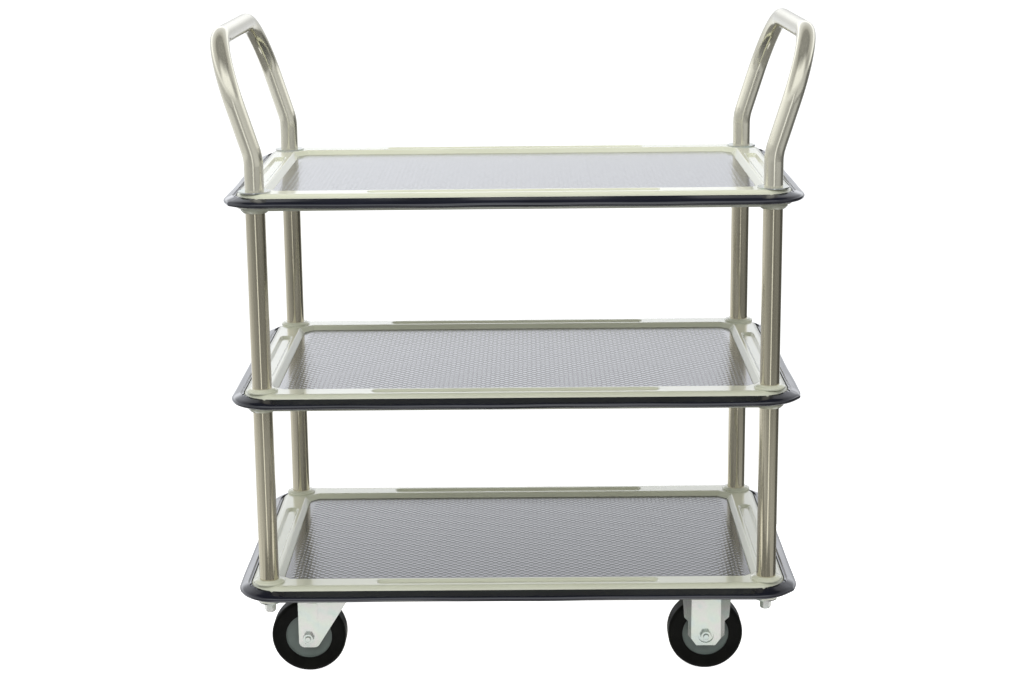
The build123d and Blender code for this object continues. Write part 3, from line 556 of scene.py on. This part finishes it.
# Studio floor
# Plain board that the camera sees as white. In the cart's gloss it is a dim board with two pools of light
# painted into its colour and glow before the casters, which brighten their forks, and a painted strip of
# light beside them under the cart.
FLOOR_SIDE = 0.60           # reach to the left and the right
FLOOR_FRONT = 0.75
FLOOR_BACK = 0.45
FLOOR_ROUGHNESS = 0.9
POOL_FRONT = (-0.56, -0.46)  # where a pool's light begins, towards the camera
POOL_BACK = (-0.26, -0.22)  # and where it ends under the cart's edge
POOL_PLACE = 0.252          # middle of a pool, to each side
POOL_EDGE = (0.10, 0.22)    # where it fades, from its middle
UNDER_FRONT = (-0.21, -0.17)  # where the strip under the cart begins
UNDER_BACK = (0.02, 0.08)   # and ends
UNDER_SHARE = 0.9           # of the pools' light
DIM_BOARD_GREY = (0.10, 0.10, 0.10)
PALE_AND_PAINTED_POOL_GREY = (0.85, 0.85, 0.85)
FLOOR_GLOW = 0.55
SEEN_GLOW = 1.0             # towards the camera
WHITE = (1.0, 1.0, 1.0, 1.0)
floor_corners = [(-FLOOR_SIDE, -FLOOR_FRONT, 0), (FLOOR_SIDE, -FLOOR_FRONT, 0),
                 (FLOOR_SIDE, FLOOR_BACK, 0), (-FLOOR_SIDE, FLOOR_BACK, 0)]
floor_mesh = bpy.data.meshes.new("floor")
floor_mesh.from_pydata(floor_corners, [], [(0, 1, 2, 3)])
floor = link("studio_floor", floor_mesh)
# The board glows with its painted pools of light, though it is no lamp.
floor_with_painted_pools, tree, shader = finish("floor_with_painted_pools", {
    "Roughness": FLOOR_ROUGHNESS, "Emission Strength": FLOOR_GLOW})
own_place = add(tree, "ShaderNodeTexCoord", {}).outputs["Object"]
spot = add(tree, "ShaderNodeSeparateXYZ", {0: own_place}).outputs


def figure(operation, first, second=0.0):
    """Result of one step of arithmetic in the node tree at hand."""
    return add(tree, "ShaderNodeMath", {0: first, 1: second}, operation=operation).outputs[0]


def share_of(value, edge):
    """Share that grows from 0 to 1 between two values."""
    made = add(tree, "ShaderNodeMapRange", {"Value": value, "From Min": edge[0], "From Max": edge[1]})
    return made.outputs[0]


# Two pools of light before the casters and a strip of light under the cart, painted into the floor's colour
# and glow; the board round them is dim.
pool_band = figure("SUBTRACT", share_of(spot["Y"], POOL_FRONT), share_of(spot["Y"], POOL_BACK))
aside = figure("ABSOLUTE", figure("SUBTRACT", figure("ABSOLUTE", spot["X"]), POOL_PLACE))
pools = figure("MULTIPLY", pool_band, figure("SUBTRACT", 1.0, share_of(aside, POOL_EDGE)))
under = figure("SUBTRACT", share_of(spot["Y"], UNDER_FRONT), share_of(spot["Y"], UNDER_BACK))
painted_light_share = figure("MAXIMUM", pools, figure("MULTIPLY", under, UNDER_SHARE))
painted_floor_light = ramp(tree, painted_light_share, [(0.0, DIM_BOARD_GREY), (1.0, PALE_AND_PAINTED_POOL_GREY)])
for socket in ("Base Color", "Emission Color"):
    tree.links.new(painted_floor_light, shader.inputs[socket])
plain_floor = add(tree, "ShaderNodeBsdfPrincipled", {
    "Base Color": (*PALE_AND_PAINTED_POOL_GREY, 1.0), "Roughness": FLOOR_ROUGHNESS, "Emission Color": WHITE,
    "Emission Strength": SEEN_GLOW})
seen = add(tree, "ShaderNodeLightPath", {}).outputs["Is Camera Ray"]
both = add(tree, "ShaderNodeMixShader", {0: seen, 1: shader.outputs[0], 2: plain_floor.outputs[0]})
tree.links.new(both.outputs[0], tree.nodes["Material Output"].inputs["Surface"])
floor_mesh.materials.append(floor_with_painted_pools)

# Studio light
# Rings of soft wall light stand one over another round the cart, bright behind it and to the left, with dark
# stretches to the right that give the tubes their shaded lines. A broad lamp hangs over the camera, two
# softboxes light the decks from above, and the backdrop is white to the camera.
WALL_TINT = (0.965, 0.985, 1.03)
LOW_WALL = (  # degrees clockwise from straight behind the cart, brightness
    (-180, 1.6), (-178, 1.6), (-175, 0.52), (-160, 0.50), (-146, 0.62), (-130, 0.78), (-105, 0.84),
    (-90, 0.92), (-55, 1.08), (-25, 1.17), (22, 1.05), (32, 0.85), (42, 0.24), (50, 0.10), (88, 0.10),
    (96, 0.44), (110, 0.58), (135, 0.55), (158, 0.50), (172, 0.54), (175.5, 1.6), (180, 1.6))
MIDDLE_WALL = (
    (-180, 1.5), (-178, 1.5), (-175, 0.22), (-146, 0.32), (-105, 0.58), (-55, 1.08), (-25, 1.17),
    (22, 1.00), (32, 0.80), (42, 0.22), (50, 0.08), (88, 0.08), (96, 0.18), (110, 0.23), (150, 0.23),
    (164, 0.18), (172, 0.20), (175.5, 1.5), (180, 1.5))
HIGH_WALL = (
    (-180, 1.7), (-178, 1.7), (-175, 0.56), (-146, 0.66), (-105, 0.74), (-55, 1.08), (-25, 1.17),
    (-7, 1.16), (7, 1.04), (22, 1.00), (34, 0.85), (46, 0.24), (56, 0.10), (86, 0.10), (95, 0.60),
    (110, 0.95), (150, 0.95), (164, 0.60), (172, 0.54), (175.5, 1.7), (180, 1.7))
SKY_WALL = (
    (-180, 0.52), (-146, 0.66), (-105, 0.74), (-55, 1.08), (-25, 1.17), (-7, 1.16), (7, 1.04), (22, 1.00),
    (60, 1.00), (80, 0.90), (96, 0.46), (112, 0.44), (150, 0.52), (180, 0.52))
LOW_EDGE = (-0.46, -0.38)   # sine of the height where the lowest ring begins
MIDDLE_EDGE = (-0.30, -0.23)  # the middle one
HIGH_EDGE = (-0.16, -0.12)  # the upper one
SKY_EDGE = (0.08, 0.16)     # and the ring over it
GROUND_LIGHT = 0.22         # below all rings
LAMP_LIGHT = (  # lamp over the camera, in the same degrees
    (-180, 1.1), (-140, 1.1), (-110, 0.0), (110, 0.0), (140, 1.1), (180, 1.1))
LAMP_LOW = (0.05, 0.40)     # where the lamp begins
LAMP_HIGH = (0.72, 0.96)    # and ends
WALL_TOP = (0.55, 0.70)     # where the rings end
GAP_LIGHT = 0.36            # over the rings
CEILING_EDGE = (0.745, 0.79)  # where the dim ceiling begins
CEILING_LIGHT = 0.06
RISE_LIGHT = (  # sine of the height, share of the rings' light
    (-0.25, 0.95), (0.03, 0.62), (0.10, 0.70), (0.145, 1.04), (0.18, 1.15), (0.24, 1.42), (0.30, 1.34),
    (0.345, 1.02), (0.38, 0.82), (0.44, 0.64), (0.50, 0.62))
ROOM_STRENGTH = 1.0
BACKDROP_STRENGTH = 1.2
MIDDLE_HEIGHT = 0.4         # of the cart, where the softboxes point

world = bpy.data.worlds.new("studio")
world.use_nodes = True
bpy.context.scene.world = world
tree = world.node_tree
way = add(tree, "ShaderNodeTexCoord", {}).outputs["Generated"]
axes = add(tree, "ShaderNodeSeparateXYZ", {0: way}).outputs
azimuth = add(tree, "ShaderNodeMath", {0: axes["X"], 1: axes["Y"]}, operation="ARCTAN2").outputs[0]


def stretched(value, scale):
    """Value brought to the range from 0 to 1, with 0 in the middle of it."""
    return add(tree, "ShaderNodeMath", {0: value, 1: scale, 2: 0.5}, operation="MULTIPLY_ADD").outputs[0]


bearing = stretched(azimuth, 1 / (2 * math.pi))
rise = stretched(axes["Z"], 0.5)


def wall(lights):
    """Light that depends on the direction round the cart."""
    stops = [(degrees / 360 + 0.5, [light * part for part in WALL_TINT]) for degrees, light in lights]
    return ramp(tree, bearing, stops)


def even(light):
    """Light as it is, or a plain brightness made a colour."""
    return light if isinstance(light, bpy.types.NodeSocket) else (light, light, light, 1.0)


def mixed(edge, below, above):
    """Light that goes over from one to another between two heights of the sky."""
    made = add(tree, "ShaderNodeMix", {
        "Factor": share_of(axes["Z"], edge), "A": even(below), "B": even(above)}, data_type="RGBA")
    return made.outputs["Result"]


def joined(way_of_mixing, first, second):
    """Two lights put together in full."""
    made = add(tree, "ShaderNodeMix", {"Factor": 1.0, "A": first, "B": second}, data_type="RGBA",
               blend_type=way_of_mixing)
    return made.outputs["Result"]


room = mixed(LOW_EDGE, GROUND_LIGHT, wall(LOW_WALL))
room = mixed(MIDDLE_EDGE, room, wall(MIDDLE_WALL))
room = mixed(HIGH_EDGE, room, wall(HIGH_WALL))
room = mixed(SKY_EDGE, room, wall(SKY_WALL))
fall = ramp(tree, rise, [(sine / 2 + 0.5, (share, share, share)) for sine, share in RISE_LIGHT])
room = joined("MULTIPLY", room, fall)
room = mixed(WALL_TOP, room, GAP_LIGHT)
room = mixed(CEILING_EDGE, room, CEILING_LIGHT)
lamp = mixed(LAMP_HIGH, mixed(LAMP_LOW, 0.0, wall(LAMP_LIGHT)), 0.0)
room = joined("LIGHTEN", room, lamp)
room_light = tree.nodes["Background"]
tree.links.new(room, room_light.inputs["Color"])
room_light.inputs["Strength"].default_value = ROOM_STRENGTH
backdrop = add(tree, "ShaderNodeBackground", {"Color": WHITE, "Strength": BACKDROP_STRENGTH})
seen = add(tree, "ShaderNodeLightPath", {}).outputs["Is Camera Ray"]
both = add(tree, "ShaderNodeMixShader", {0: seen, 1: room_light.outputs[0], 2: backdrop.outputs[0]})
tree.links.new(both.outputs[0], tree.nodes["World Output"].inputs["Surface"])
bpy.context.scene.view_settings.view_transform = "Standard"


def softbox(name, place, side, watts):
    """Large square light turned to the cart's middle, which doesn't show in gloss."""
    light = bpy.data.lights.new(name, "AREA")
    light.size = side
    light.energy = watts
    made = link(name, light)
    towards = Vector((0.0, 0.0, MIDDLE_HEIGHT)) - Vector(place)
    turned = towards.to_track_quat("-Z", "Y").to_matrix().to_4x4()
    made.matrix_world = Matrix.Translation(place) @ turned
    made.visible_glossy = False
    made.visible_camera = False


softbox("front_softbox", place=(-0.7, -2.9, 3.3), side=3.2, watts=76.0)
softbox("top_softbox", place=(0.0, 0.6, 4.0), side=3.0, watts=92.0)

# Camera
# Stands in front of the cart a little above the handles and looks down on it, as in the photograph.
# Its place, turn and lens were fitted to points of the cart in the picture.
EYE =(0.0179, -2.7577, 1.0599)
EYE_TURN = math.radians(0.548)
EYE_DOWN = math.radians(13.083)
EYE_ROLL = math.radians(-0.591)
FOCAL_PIXELS = 2044.1
IMAGE_WIDTH = 1020
SENSOR_WIDTH = 36.0
camera_data = bpy.data.cameras.new("camera")
camera_data.sensor_width = SENSOR_WIDTH
camera_data.lens = FOCAL_PIXELS / IMAGE_WIDTH * SENSOR_WIDTH
camera = link("camera", camera_data)
camera.matrix_world = (Matrix.Translation(EYE) @ Matrix.Rotation(EYE_TURN, 4, "Z")
                       @ Matrix.Rotation(math.pi / 2 - EYE_DOWN, 4, "X") @ Matrix.Rotation(EYE_ROLL, 4, "Z"))
bpy.context.scene.camera = camera
